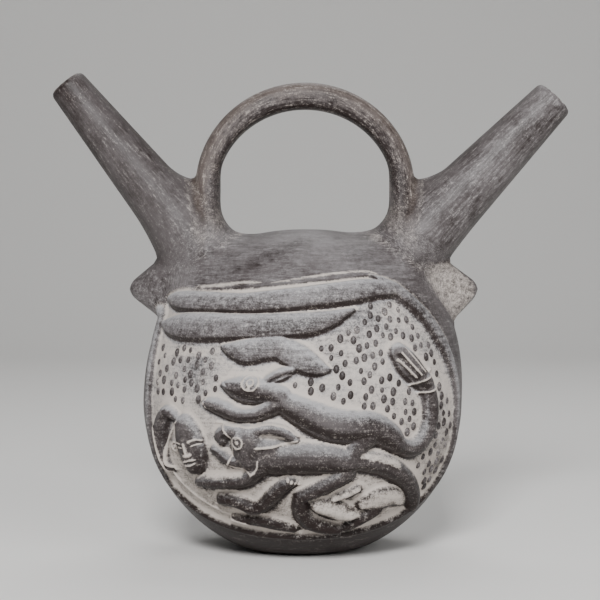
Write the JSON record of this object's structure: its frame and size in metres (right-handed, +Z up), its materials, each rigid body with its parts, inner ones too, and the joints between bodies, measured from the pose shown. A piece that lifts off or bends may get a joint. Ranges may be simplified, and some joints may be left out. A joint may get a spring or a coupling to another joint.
{
  "type": "double-spout bottle",
  "caption": "Hollow blackware bottle with a round body, two spreading spouts, an arched handle between them and a moulded relief on the front.",
  "frame": {"origin": "middle of the flat base, on the surface that the bottle stands on", "axes": "+Z up, +X from the left spout towards the right one as the relief is seen, -Y out of the relief's side"},
  "size_m": [0.2206, 0.1152, 0.2045],
  "materials": {
    "clay": "burnished dark grey, satin, with pale earth in the hollows"
  },
  "bodies": {
    "root": {"bottle": "clay"}
  },
  "joints": []
}
